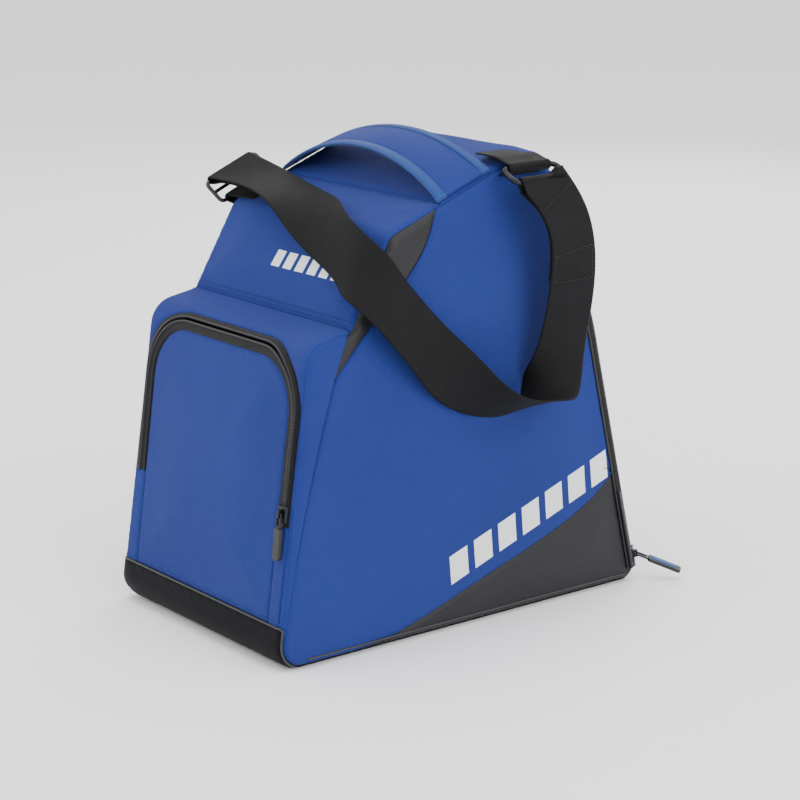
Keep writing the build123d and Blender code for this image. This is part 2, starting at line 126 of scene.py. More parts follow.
class Finish:
    """A material on the Principled shader. Plain numbers go on its own sockets."""

    def __init__(self, name, **plain):
        self.material = bpy.data.materials.new(name)
        self.material.use_nodes = True
        self.tree = self.material.node_tree
        self.shader = self.tree.nodes["Principled BSDF"]
        for key, value in plain.items():
            self.shader.inputs[key.replace("_", " ")].default_value = value
        self.place = self.node("ShaderNodeTexCoord", {}, {})

    def node(self, kind, settings, sockets):
        made = self.tree.nodes.new(kind)
        for key, value in settings.items():
            setattr(made, key, value)
        for key, value in sockets.items():
            if isinstance(value, Value):
                self.tree.links.new(value.socket, made.inputs[key])
            else:
                made.inputs[key].default_value = value
        return Node(self, made)

    def parts(self, name):
        """The three numbers of a coordinate."""
        split = self.node("ShaderNodeSeparateXYZ", {}, {0: self.place.out(name)})
        return split.out(0), split.out(1), split.out(2)

    def noise(self, scale, detail=3.0, where="Object"):
        sockets = {"Vector": self.place.out(where), "Scale": scale, "Detail": detail}
        return self.node("ShaderNodeTexNoise", {}, sockets).out("Fac")

    def blend(self, factor, first, second):
        sockets = {0: factor, 6: first, 7: second}
        return self.node("ShaderNodeMix", {"data_type": "RGBA"}, sockets).out(2)

    def feed(self, socket, value):
        self.tree.links.new(value.socket, self.shader.inputs[socket])

    def bump(self, height, depth):
        """Bump of the given depth in metres for a height from 0 to 1."""
        sockets = {"Height": height, "Distance": depth, "Strength": 1.0}
        self.feed("Normal", self.node("ShaderNodeBump", {}, sockets).out())


def rgb(red, green, blue):
    """A screen colour from 0 to 255 as the shader's linear colour."""
    values = np.array([red, green, blue]) / 255
    linear = np.where(values < 0.04045, values / 12.92, ((values + 0.055) / 1.055) ** 2.4)
    return (*linear.tolist(), 1.0)


def weave(finish, pitch):
    """Height of a plain weave on the cloth's own coordinates: crossing threads of the given pitch."""
    across, along, _ = finish.parts("UV")
    warp, weft = across.wave(pitch), along.wave(pitch)
    over = (across.wave(2 * pitch) * along.wave(2 * pitch)) * 0.5
    return (warp.size() * 0.5 + weft.size() * 0.5) + over


def cloth(name, dark, light, pitch, depth, sheen, printed=None):
    """Woven cloth: two close shades in soft mottling, thread bump, and an optional white print."""
    finish = Finish(name, Sheen_Weight=sheen, Sheen_Roughness=0.45, Specular_IOR_Level=0.14)
    mottling = finish.noise(9.0) * 0.55 + finish.noise(700.0, 2.0) * 0.45
    colour = finish.blend(mottling, dark, light)
    rough = 0.72 + finish.noise(60.0) * 0.12
    if printed:
        mask = printed(finish)
        ink = finish.blend(finish.noise(900.0), rgb(226, 229, 232), rgb(246, 247, 248))
        colour = finish.blend(mask, colour, ink)
        rough = rough - mask * 0.2
    finish.feed("Base Color", colour)
    finish.feed("Roughness", rough)
    finish.bump(weave(finish, pitch), depth)
    return finish.material


def slanted_bars(across, along, first, last, low, high, period, share, slant):
    """Mask of a row of equal slanted bars between two places along and two across."""
    shifted = along - across * slant
    bar = ((shifted - first) / period).math("FRACT") < share
    inside = (shifted > first) * (shifted < last)
    return bar * inside * (across > low) * (across < high)


def side_print(finish):
    """The row of bars above the kick panel, along its seam."""
    _, y, z = finish.parts("Object")
    lean = math.radians(19.16)
    along = y * math.cos(lean) + z * math.sin(lean)
    across = z * math.cos(lean) - y * math.sin(lean)
    return slanted_bars(across, along, -0.014, 0.188, 0.044, 0.0695, 0.0288, 0.72, 0.22)


def yoke_print(finish):
    """The small row of bars on the yoke."""
    x, _, z = finish.parts("Object")
    return slanted_bars(z, x, -0.085, 0.033, 0.3085, 0.3215, 0.0169, 0.7, 0.22)


def coated(name, dark, light, rough, depth, shine=0.3):
    """Coated fabric: fine leather-like grain under a satin skin, duller where it is worn."""
    finish = Finish(name, Specular_IOR_Level=shine)
    sockets = {"Vector": finish.place.out("Object"), "Scale": 950.0}
    grain = finish.node("ShaderNodeTexVoronoi", {"feature": "SMOOTH_F1"}, sockets).out("Distance")
    wear = finish.noise(14.0)
    finish.feed("Base Color", finish.blend(wear, dark, light))
    finish.feed("Roughness", wear * 0.16 + (rough - 0.08) + grain * 0.08)
    finish.bump(grain + finish.noise(260.0) * 0.6, depth)
    return finish.material


def webbing(name, dark, light):
    """Ribbed webbing on the strap's own coordinates: ribs across it, fine cords along it, two edge cords."""
    finish = Finish(name, Sheen_Weight=0.0, Specular_IOR_Level=0.14)
    across, along, _ = finish.parts("UV")
    cords = across.wave(2.2 * MM).size()
    ribs = (along + cords * (0.5 * MM)).wave(3.0 * MM).size()
    height = ribs * 0.65 + cords * 0.35
    # Painted shade: the colour follows the rib and cord height, darker in the grooves and lighter on the
    # crests, mixed with random tone.
    painted_rib_shade_and_tone = height * 0.5 + finish.noise(420.0) * 0.5
    finish.feed("Base Color", finish.blend(painted_rib_shade_and_tone, dark, light))
    finish.feed("Roughness", 0.62 + finish.noise(50.0) * 0.14)
    finish.bump(height, 0.35 * MM)
    return finish.material


def smooth_solid(name, colour, rough, metal=0.0, depth=0.02):
    """Moulded or painted solid: a fine orange-peel bump and slightly uneven gloss."""
    finish = Finish(name, Metallic=metal, Specular_IOR_Level=0.5)
    dull = tuple(c * 0.8 for c in colour[:3]) + (1.0,)
    finish.feed("Base Color", finish.blend(finish.noise(45.0), dull, colour))
    finish.feed("Roughness", finish.noise(80.0) * 0.12 + (rough - 0.06))
    finish.bump(finish.noise(300.0), depth * MM)
    return finish.material


BLUE_DARK, BLUE_LIGHT = rgb(26, 39, 106), rgb(38, 57, 132)
blue_cloth = cloth("blue_cloth", BLUE_DARK, BLUE_LIGHT, 0.95 * MM, 0.22 * MM, 0.03)
blue_side_cloth = cloth("blue_side_cloth", BLUE_DARK, BLUE_LIGHT, 0.95 * MM, 0.22 * MM, 0.03, side_print)
blue_yoke_cloth = cloth("blue_yoke_cloth", BLUE_DARK, BLUE_LIGHT, 0.95 * MM, 0.22 * MM, 0.03, yoke_print)
binding_cloth = cloth("binding_cloth", rgb(22, 54, 112), rgb(34, 72, 134), 0.8 * MM, 0.15 * MM, 0.15)
lining_cloth = cloth("lining_cloth", rgb(48, 49, 54), rgb(64, 65, 70), 0.7 * MM, 0.1 * MM, 0.1)
tape_cloth = cloth("tape_cloth", rgb(9, 9, 11), rgb(16, 16, 19), 0.6 * MM, 0.12 * MM, 0.1)
black_coated = coated("black_coated", rgb(16, 16, 18), rgb(28, 28, 32), 0.46, 0.10 * MM)
base_coated = coated("base_coated", rgb(10, 10, 12), rgb(18, 18, 21), 0.6, 0.14 * MM, 0.1)
black_webbing = webbing("black_webbing", rgb(7, 7, 8), rgb(24, 24, 26))
black_nylon = smooth_solid("black_nylon", rgb(46, 46, 50), 0.34)
black_moulded = smooth_solid("black_moulded", rgb(14, 14, 16), 0.34, depth=0.05)
black_metal = smooth_solid("black_metal", rgb(44, 45, 50), 0.3, metal=0.85)
black_rubber = smooth_solid("black_rubber", rgb(16, 16, 18), 0.5, depth=0.06)
blue_rubber = smooth_solid("blue_rubber", rgb(40, 110, 210), 0.42, depth=0.04)
grey_piping = smooth_solid("grey_piping", rgb(36, 36, 40), 0.45, depth=0.05)
dark_piping = smooth_solid("dark_piping", rgb(14, 14, 16), 0.5, depth=0.05)
stiff_board = smooth_solid("stiff_board", rgb(52, 52, 54), 0.6, depth=0.05)
blue_thread = smooth_solid("blue_thread", rgb(26, 52, 136), 0.6)
black_thread = smooth_solid("black_thread", rgb(24, 24, 27), 0.6)


# ---------------------------------------------------------------- the shell as a surface
def rounded_outline(corners, step):
    """Closed polygon with each corner replaced by its tangent arc, sampled every step.

    A corner of turn t and radius r has tangents of r tan(t/2), and its arc is centred on the inner
    bisector. Returns the points and their outward normals, starting under the middle of the base.
    """
    points = []
    for i, (y, z, radius) in enumerate(corners):
        here = np.array([y, z])
        back = corners[i - 1][:2] - here
        ahead = corners[(i + 1) % len(corners)][:2] - here
        back, ahead = back / np.linalg.norm(back), ahead / np.linalg.norm(ahead)
        half = math.acos(np.clip(back @ ahead, -1, 1)) / 2
        middle = (back + ahead) / np.linalg.norm(back + ahead)
        centre = here + middle * radius / math.sin(half)
        first = here + back * radius / math.tan(half) - centre
        last = here + ahead * radius / math.tan(half) - centre
        swing = math.atan2(first[0] * last[1] - first[1] * last[0], first @ last)
        angles = np.linspace(0, swing, 24)
        turned = np.outer(np.cos(angles), first) + np.outer(np.sin(angles), [-first[1], first[0]])
        points.append(centre + turned)
    loop = np.concatenate(points)
    loop = np.concatenate([[(0, 0)], loop[24:], loop[:24], [(0, 0)]])   # the first corner's arc comes last
    travel = np.concatenate([[0], np.cumsum(np.linalg.norm(np.diff(loop, axis=0), axis=1))])
    s = np.arange(0, travel[-1], step)
    even = np.stack([np.interp(s, travel, loop[:, 0]), np.interp(s, travel, loop[:, 1])], 1)
    tangent = np.roll(even, -2, 0) - np.roll(even, 2, 0)
    normal = np.stack([tangent[:, 1], -tangent[:, 0]], 1)
    return s, even, normal / np.linalg.norm(normal, axis=1, keepdims=True), travel[-1]


RUN, LINE, OUT, TOTAL = rounded_outline(OUTLINE, 1.0 * MM)


def half_width(z):
    return HALF_WIDTH - TAPER * z


def run_at(y, z):
    """Distance along the outline of the point nearest to (y, z)."""
    return RUN[np.argmin(np.hypot(LINE[:, 0] - y, LINE[:, 1] - z))]


def band_edge(z):
    """Half width of the unrolled band between the two side seams."""
    return half_width(z) - CORNER + CORNER * (math.pi / 2 - HALF_TURN)


def shell(s, c):
    """Surface point at distance s along the outline and c across the unrolled band.

    Across, the surface is flat, then turns a quarter circle of radius CORNER, then runs down the side.
    """
    y, z, out_y, out_z = (np.interp(s, RUN, values, period=TOTAL) for values in (*LINE.T, *OUT.T))
    room = half_width(z) - CORNER
    over = np.abs(c) - room
    turn = np.clip(over / CORNER, 0, math.pi / 2)
    depth = CORNER * (1 - np.cos(turn)) + np.maximum(over - CORNER * math.pi / 2, 0)
    down = z - out_z * depth
    x = np.minimum(np.abs(c), room) + CORNER * np.sin(turn) + TAPER * (z - down)
    return np.stack([np.sign(c) * x, y - out_y * depth, down], -1)


def flank(y, z, side):
    """Surface point of the unrolled side at (y, z): flat, turning over the rounded edge near the outline."""
    shape = y.shape
    flat = np.stack([y.ravel(), z.ravel()], 1)
    coarse = slice(None, None, 2)
    near = np.argmin(((flat[:, None] - LINE[None, coarse]) ** 2).sum(-1), 1) * 2
    out = OUT[near]
    depth = ((LINE[near] - flat) * out).sum(1)
    turn = np.clip((CORNER - depth) / CORNER, 0, math.pi / 2)
    drop = np.where(turn > 0, CORNER * (1 - np.sin(turn)) - depth, 0)
    moved = flat - out * drop[:, None]
    x = half_width(moved[:, 1]) - CORNER * (1 - np.cos(turn))
    return np.concatenate([side * x[:, None], moved], 1).reshape(*shape, 3)


def resample(points, count):
    """The polyline's points, evenly spaced along it."""
    points = np.asarray(points, float)
    travel = np.concatenate([[0], np.cumsum(np.linalg.norm(np.diff(points, axis=0), axis=1))])
    even = np.linspace(0, travel[-1], count)
    return np.stack([np.interp(even, travel, points[:, k]) for k in range(points.shape[1])], 1)


def curve(points, count, rounds=3):
    """A smooth curve through the run of points, by repeated corner cutting that keeps both ends."""
    points = np.asarray(points, float)
    for _ in range(rounds):
        quarter = points[:-1] * 0.75 + points[1:] * 0.25
        three = points[:-1] * 0.25 + points[1:] * 0.75
        middle = np.stack([quarter, three], 1).reshape(-1, points.shape[1])
        points = np.concatenate([points[:1], middle, points[-1:]])
    return resample(points, count)


def coons(south, north, west, east):
    """Grid inside four curves: both ruled surfaces added, less the surface through the four corners."""
    u = np.linspace(0, 1, len(south))[None, :, None]
    v = np.linspace(0, 1, len(west))[:, None, None]
    ruled = (1 - v) * south[None] + v * north[None] + (1 - u) * west[:, None] + u * east[:, None]
    low = (1 - u) * south[0] + u * south[-1]
    high = (1 - u) * north[0] + u * north[-1]
    return ruled - (1 - v) * low - v * high


def normals(grid):
    """Unit normals of a grid of points, from its two directions."""
    along, across = np.gradient(grid, axis=0), np.gradient(grid, axis=1)
    normal = np.cross(across, along)
    return normal / np.maximum(np.linalg.norm(normal, axis=-1, keepdims=True), 1e-12)


def edge_distance(grid, edges):
    """Distance of each grid point from the named edges: s, n, w and e."""
    lines = {"s": grid[0], "n": grid[-1], "w": grid[:, 0], "e": grid[:, -1]}
    line = np.concatenate([resample(lines[edge], 160) for edge in edges])
    flat = grid.reshape(-1, 3)
    nearest = np.concatenate(
        [np.sqrt(((part[:, None] - line[None]) ** 2).sum(-1).min(1)) for part in np.array_split(flat, 24)]
    )
    return nearest.reshape(grid.shape[:2])


WAVES = rng.normal(size=(14, 3))
WAVES *= (TURN / rng.uniform(0.07, 0.21, 14) / np.linalg.norm(WAVES, axis=1))[:, None]
PHASES = rng.uniform(0, TURN, 14)


def ripple(points):
    """Smooth uneven field between about -1 and 1: a sum of sines in fixed uneven directions."""
    return np.sin(points @ WAVES.T + PHASES).sum(-1) / 4.5


def pucker(points):
    """Short waves along a seam: a sine of the place, its pace varied by a slower sine."""
    run = points @ np.array([0.9, 1.0, 1.1])
    return np.sin(TURN * run / 0.0125 + 1.8 * np.sin(TURN * run / 0.047))


def padded_grid(grid, seams, bulge, reach, groove=1.3 * MM, wrinkle=0.7 * MM, gather=0.32 * MM):
    """Pads a surface out between its seams.

    Along its normals it moves out by bulge (1 - exp(-(d/reach)^2)) at distance d from a seam, in by a groove
    within 2.5 mm of one, and by ripples that grow away from the seams and puckers that fade from them.
    """
    out = normals(grid)
    middle = np.array([0, 0.0, 0.18])
    facing = np.sign((out * (grid - middle)).sum(-1).mean())
    distance = edge_distance(grid, seams)
    rise = 1 - np.exp(-((distance / reach) ** 2))
    height = bulge * rise + wrinkle * ripple(grid) * rise
    height -= groove * np.exp(-((distance / (2.5 * MM)) ** 2))
    height += gather * pucker(grid) * np.exp(-distance / (7 * MM)) * (1 - np.exp(-distance / (2 * MM)))
    moved = grid + out * (facing * height)[..., None]
    moved[..., 2] = np.maximum(moved[..., 2], np.minimum(grid[..., 2], 0.4 * MM))
    return moved


# ---------------------------------------------------------------- meshes
def make_mesh(name, verts, faces, finish, uvs=None, turn=False):
    """An object at the origin from vertices, faces and a cloth coordinate for each vertex.

    With turn, the faces are turned outwards.
    """
    mesh = bpy.data.meshes.new(name)
    mesh.from_pydata(np.asarray(verts).tolist(), [], faces if turn else faces.tolist())
    if turn:
        work = bmesh.new()
        work.from_mesh(mesh)
        bmesh.ops.recalc_face_normals(work, faces=work.faces)
        work.to_mesh(mesh)
        work.free()
    if uvs is not None:
        layer = mesh.uv_layers.new(name="cloth")
        corners = np.zeros(len(mesh.loops), np.int32)
        mesh.loops.foreach_get("vertex_index", corners)
        layer.data.foreach_set("uv", np.asarray(uvs, float)[corners].ravel())
    mesh.shade_smooth()
    mesh.materials.append(finish)
    piece = bpy.data.objects.new(name, mesh)
    bpy.context.scene.collection.objects.link(piece)
    return piece


def attach(piece, nodes, body):
    """The piece stands for CAD nodes and rides on a body, where they are given."""
    if nodes:
        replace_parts(piece, *nodes)
    if body:
        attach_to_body(piece, body)
    return piece


def bend(piece, flap, climb, height, reach):
    """Bakes the piece's transform into its mesh."""
    y = float(np.interp(climb(height), RUN, LINE[:, 0]))
    height - reach
    height + reach
    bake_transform(piece)


def closed_faces(rows, columns):
    """Quads of a closed tube of rows by columns, and a cap at each end."""
    ends = [list(range(columns))[::-1], list(range((rows - 1) * columns, rows * columns))]
    return grid_faces(rows, columns, close=True).tolist() + ends


def grid_faces(rows, columns, start=0, flip=False, close=False):
    """Quads of a grid of rows by columns, closed along the columns if asked."""
    last = columns if close else columns - 1
    row, column = np.meshgrid(np.arange(rows - 1), np.arange(last), indexing="ij")
    ahead = (column + 1) % columns
    here, beside = row * columns + column, row * columns + ahead
    faces = np.stack([q.ravel() for q in (here, beside, beside + columns, here + columns)], 1) + start
    return faces[:, ::-1] if flip else faces


def cloth_piece(name, grids, finish, thickness, nodes, body, inside=(0, 0.0, 0.18)):
    """Cloth panels as one piece, thickened inwards. Each grid comes with its cloth coordinates."""
    verts, faces, uvs, start = [], [], [], 0
    for grid, flat in grids:
        rows, columns = grid.shape[:2]
        outward = (normals(grid) * (grid - np.array(inside))).sum(-1).mean() > 0
        faces.append(grid_faces(rows, columns, start, flip=not outward))
        verts.append(grid.reshape(-1, 3))
        uvs.append(flat.reshape(-1, 2))
        start += rows * columns
    piece = make_mesh(name, np.concatenate(verts), np.concatenate(faces), finish, np.concatenate(uvs))
    if len(grids) > 1:
        weld = piece.modifiers.new("weld", "WELD")
        weld.merge_threshold = 0.05 * MM
    wall = piece.modifiers.new("wall", "SOLIDIFY")
    wall.thickness, wall.offset = thickness, -1
    if thickness >= PANEL_THICK:
        piece.data.materials.append(lining_cloth)
        wall.material_offset = 1
    return attach(piece, nodes, body)


def band_patch(first, last, rows, columns, edge=band_edge):
    """Panel right across the band, from one distance along the outline to another."""
    s = np.linspace(first, last, rows)[:, None] * np.ones(columns)
    z = np.interp(s, RUN, LINE[:, 1], period=TOTAL)
    c = edge(z) * np.linspace(-1, 1, columns)
    return shell(s, c), np.stack([c, s], -1)


def seam_run(first, last, count, depth=EDGE_DEPTH):
    """Points at a depth inside the outline between two distances along it, in that order."""
    s = np.linspace(first, last, count)
    inset = LINE - OUT * depth
    return np.stack([np.interp(s, RUN, inset[:, k], period=TOTAL) for k in (0, 1)], 1)


ON_BACK = (LINE[:, 0] > 0.09) & (RUN < TOTAL / 2)
ON_FRONT = (LINE[:, 0] < -0.14) & (RUN > TOTAL / 2) & (LINE[:, 1] < 0.268)
REAR_DEPTH = 10 * MM
ARCH_LEG, ARCH_BEND, ARCH_FLAT = 130, 44, 40


def s_back(z):
    """Distance along the outline of a height on the back."""
    return np.interp(z, LINE[ON_BACK, 1], RUN[ON_BACK])


def s_front(z):
    """Distance along the outline of a height on the pocket's front."""
    order = np.argsort(LINE[ON_FRONT, 1])
    heights, runs = LINE[ON_FRONT, 1][order], RUN[ON_FRONT][order]
    low, high, last = (np.interp(place, heights, runs) for place in (0.247, 0.249, np.minimum(z, 0.249)))
    return last + (high - low) / 0.002 * np.maximum(z - 0.249, 0)   # straight on, above the start of the bend


S_HANDLE = run_at(*HANDLE_SEAM)
S_SHELF = run_at(*SHELF_SEAM)
S_BUMPER = float(s_front(BUMPER_TOP))
S_FRONT_LOW = run_at(-0.180, 0.0)
S_SILL = float(s_back(ZIP_BOTTOM))
S_KICK_LOW = TOTAL + KICK_SEAM[0][0]


def half_arch(half, bottom, top, radius, offset, lift=0.0):
    """Right half of an inverted U on the unrolled band, moved out by offset: a leg, a quarter circle, a flat.

    half gives the leg's place across for a height. Returns places (across, height) from the foot up.
    """
    reach, head = radius + offset, top + offset + lift
    z = np.linspace(bottom, head - reach, ARCH_LEG)
    leg = np.stack([half(z) + offset, z], 1)
    angle = np.linspace(0, math.pi / 2, ARCH_BEND)[1:]
    centre = leg[-1] - [reach, 0]
    bend = centre + reach * np.stack([np.cos(angle), np.sin(angle)], 1)
    flat = np.stack([np.linspace(bend[-1, 0], 0, ARCH_FLAT)[1:], np.full(ARCH_FLAT - 1, head)], 1)
    return np.concatenate([leg, bend, flat])


def whole_arch(half):
    """Both halves of an arch, from the left foot over the top to the right foot."""
    return np.concatenate([half * [-1, 1], half[::-1][1:]])


def back_half(offset, lift=0.0, bottom=ZIP_BOTTOM):
    """The back zipper's line: its legs run along the middle of the rounded rear edges."""
    def leg(z):
        return half_width(z) - CORNER + CORNER * math.pi / 4

    return half_arch(leg, bottom, ZIP_TOP, ZIP_RADIUS, offset, lift)


def pocket_half(offset, lift=0.0, bottom=POCKET_BOTTOM):
    """The pocket zipper's line."""
    return half_arch(lambda z: np.full_like(z, POCKET_HALF), bottom, POCKET_TOP, POCKET_RADIUS, offset, lift)


def strip(line, offsets, climb):
    """A tape that follows an arch between offsets: grid and cloth coordinates."""
    flat = np.stack([whole_arch(line(offset)) for offset in offsets])
    s = climb(flat[..., 1])
    return shell(s, flat[..., 0]), np.stack([flat[..., 0], s], -1)


def arch_panel(line, offset, climb, bottom, columns):
    """The panel inside an arch: rows from one leg or bend straight across to the other."""
    half = line(offset, bottom=bottom)[: ARCH_LEG + ARCH_BEND - 1]
    half = np.concatenate([resample(half[:ARCH_LEG], 90), half[ARCH_LEG:]])
    c = half[:, :1] * np.linspace(-1, 1, columns)
    s = climb(half[:, 1])[:, None] * np.ones(columns)
    return shell(s, c), np.stack([c, s], -1)


def side_panels():
    """Both sides: the large blue panel, the black kick panel under it and the leaf at its front edge."""
    kick, gusset, leaf = curve(KICK_SEAM, 150), curve(GUSSET_SEAM, 120), curve(LEAF_SEAM, 110)
    meet = np.argmin(np.hypot(*(gusset - leaf[0]).T))
    leaf[0] = gusset[meet]
    leaf_end = run_at(*LEAF_SEAM[-1])
    leaf[-1] = seam_run(leaf_end, leaf_end, 1)[0]
    rear_bend = back_half(REAR_TAPE, ZIP_LIFT)[ARCH_LEG - 1: ARCH_LEG + ARCH_BEND]
    on_side = rear_bend[:, 0] > band_edge(rear_bend[:, 1])
    bend_s, bend_depth = s_back(rear_bend[:, 1]), rear_bend[:, 0] - half_width(rear_bend[:, 1])
    bend_depth = bend_depth + CORNER * (2 - math.pi / 2)
    bend = np.concatenate([seam_run(s, s, 1, d) for s, d in zip(bend_s[on_side], bend_depth[on_side])])
    kick_end = float(s_back(KICK_SEAM[-1][1]))
    rear = seam_run(kick_end, float(bend_s[0]), 100, REAR_DEPTH)
    kick[-1] = rear[0]
    bottom = seam_run(S_KICK_LOW, float(s_front(0.030)), 80)
    kick[0] = bottom[0]
    west = resample(np.concatenate([bottom[-1:], gusset[1:meet], leaf]), 150)
    east = resample(np.concatenate([kick[:-1], rear, bend[1:]]), 150)
    north = resample(seam_run(leaf_end, float(bend_s[on_side][-1]), 90), 90)
    north[0], north[-1] = west[-1], east[-1]
    south = resample(bottom, 90)[::-1]
    south[0], south[-1] = west[0], east[0]
    sheet = coons(south, north, west, east)
    corner = seam_run(S_SILL, S_SILL, 1, REAR_DEPTH)
    low = np.concatenate([seam_run(S_KICK_LOW - TOTAL, S_SILL, 90), corner])
    kick_rear = seam_run(S_SILL, kick_end, 50, REAR_DEPTH)
    kick_low = resample(low, 110)
    kick_low[-1], kick_rear[-1] = kick_rear[0], kick[-1]
    kick_sheet = coons(kick_low, resample(kick, 110), np.repeat(kick[:1], 50, 0), kick_rear)
    leaf_west = resample(np.concatenate([gusset[meet:-1], seam_run(S_SHELF, leaf_end, 110)]), 90)
    leaf_east = resample(leaf, 90)
    rung = np.linspace(0, 1, 16)[None, :, None]
    leaf_sheet = (1 - rung) * leaf_west[:, None] + rung * leaf_east[:, None]
    for side, name in ((RIGHT, "right"), (LEFT, "left")):
        for part, flat, finish, bulge, reach in (
            ("side_panel", sheet, blue_side_cloth, 5.0 * MM, 60 * MM),
            ("kick_panel", kick_sheet, black_coated, 2.4 * MM, 30 * MM),
            ("leaf_gusset", leaf_sheet, black_coated, 1.4 * MM, 14 * MM),
        ):
            grid = padded_grid(flank(flat[..., 0], flat[..., 1], side), "snwe", bulge, reach)
            title = f"{part}_{name}"
            cloth_piece(title + "_cloth", [(grid, flat)], finish, PANEL_THICK, [title], "shell")


def front_gusset():
    """Blue frame of the pocket: the shelf, the strips beside the zipper, and the sides up to their seams."""
    inner = pocket_half(POCKET_OUTER, ZIP_LIFT, bottom=BUMPER_TOP)
    bend_top = float(s_front(POCKET_TOP - POCKET_RADIUS))
    outer_s = np.concatenate([
        np.linspace(S_BUMPER, bend_top, ARCH_LEG), np.linspace(bend_top, S_SHELF, ARCH_BEND)[1:],
        np.full(ARCH_FLAT - 1, S_SHELF),
    ])
    outer_c = band_edge(np.interp(outer_s, RUN, LINE[:, 1]))
    outer_c[-ARCH_FLAT + 1:] *= np.linspace(1, 0, ARCH_FLAT)[1:]
    near, far = np.stack([inner[:, 0], s_front(inner[:, 1])], 1), np.stack([outer_c, outer_s], 1)
    rung = np.linspace(0, 1, 24)[:, None, None]
    half = (1 - rung) * near + rung * far
    flat = np.concatenate([half * [-1, 1], half[:, ::-1][:, 1:]], 1)
    frame_grid = padded_grid(shell(flat[..., 1], flat[..., 0]), "s", 0.0, 1.0, wrinkle=0.0)
    grids = [(frame_grid, flat)]
    gusset = curve(GUSSET_SEAM, 120)
    rim = seam_run(float(s_front(0.030)), S_SHELF, 120)
    gusset[0], gusset[-1] = rim[0], rim[-1]
    rung = np.linspace(0, 1, 14)[None, :, None]
    cheek = (1 - rung) * rim[:, None] + rung * gusset[:, None]
    foot_z = np.linspace(BUMPER_TOP, POCKET_BOTTOM, 40)
    foot_c = np.linspace(POCKET_HALF - POCKET_TAPE, POCKET_HALF + POCKET_OUTER, 10)
    for side in (LEFT, RIGHT):
        grid = padded_grid(flank(cheek[..., 0], cheek[..., 1], side), "e", 0.0, 1.0, wrinkle=0.0)
        grids.append((grid, cheek))
        c, z = np.meshgrid(side * foot_c, foot_z)
        grids.append((padded_grid(shell(s_front(z), c), "w", 0, 1.0, wrinkle=0.0), np.stack([c, z], -1)))
    cloth_piece("front_gusset_cloth", grids, blue_cloth, PANEL_THICK, ["front_gusset"], "shell")


def crown_panels():
    """The yoke over the pocket, and the top panel behind it down to the back zipper."""
    grid, flat = band_patch(S_SHELF, S_HANDLE, 70, 110)
    yoke = (padded_grid(grid, "snwe", 3.0 * MM, 28 * MM), flat)
    cloth_piece("front_yoke_cloth", [yoke], blue_yoke_cloth, PANEL_THICK, ["front_yoke"], "shell")
    edge = back_half(REAR_TAPE, ZIP_LIFT)[ARCH_LEG - 1:]
    edge = edge[edge[:, 0] <= band_edge(edge[:, 1])]
    north = np.concatenate([edge * [-1, 1], edge[::-1][1:]])
    north = resample(np.stack([north[:, 0], s_back(north[:, 1])], 1), 110)
    s = np.linspace(S_HANDLE, north[0, 1], 80)
    edge_c = band_edge(np.interp(s, RUN, LINE[:, 1]))
    west, east = np.stack([-edge_c, s], 1), np.stack([edge_c, s], 1)
    west[-1], east[-1] = north[0], north[-1]
    south = resample([west[0], east[0]], 110)
    flat = coons(south, north, west, east)
    grid = padded_grid(shell(flat[..., 1], flat[..., 0]), "snwe", 2.6 * MM, 30 * MM)
    cloth_piece("top_panel_cloth", [(grid, flat)], blue_cloth, PANEL_THICK, ["top_panel"], "shell")


def base_and_bumper():
    """The black base, turned up at its ends, and the bumper across the foot of the pocket."""
    grid, flat = band_patch(S_FRONT_LOW - TOTAL, S_SILL, 110, 60)
    grid = padded_grid(grid, "snwe", 0.0, 1.0, wrinkle=0.0, gather=0.0)
    cloth_piece("base_panel_cloth", [(grid, flat)], base_coated, PANEL_THICK, ["base_panel"], "shell")
    grid, flat = band_patch(S_BUMPER, S_FRONT_LOW, 50, 120)
    grid = padded_grid(grid, "snwe", 1.0 * MM, 14 * MM, wrinkle=0.4 * MM)
    cloth_piece("front_bumper_cloth", [(grid, flat)], base_coated, PANEL_THICK, ["front_bumper"], "shell")


def flaps():
    """The front of the pocket and the back, each one sheet from foot to zipper."""
    for title, line, tape, climb, bottom, columns, bulge, reach, nodes, flap, fold, soft in (
        ("pocket_front_cloth", pocket_half, POCKET_TAPE, s_front, BUMPER_TOP, 100, 6.5, 42,
         ["pocket_panel", "pocket_lower_panel"], "pocket_flap", POCKET_FOLD, 9),
        ("back_panel_cloth", back_half, TAPE, s_back, ZIP_BOTTOM, 110, 7.0, 50,
         ["back_panel", "back_sill"], "back_flap", FLAP_FOLD, 8),
    ):
        grid, flat = arch_panel(line, -tape, climb, bottom, columns)
        sheet = (padded_grid(grid, "snwe", bulge * MM, reach * MM), flat)
        piece = cloth_piece(title, [sheet], blue_cloth, PANEL_THICK, nodes, None)
        bend(piece, flap, climb, fold, soft * MM)


def lean(grid, height):
    """A grid moved out along its normals by a height for each point."""
    out = normals(grid)
    facing = np.sign((out * (grid - [0, 0, 0.18])).sum(-1).mean())
    return grid + out * (facing * height)[..., None]


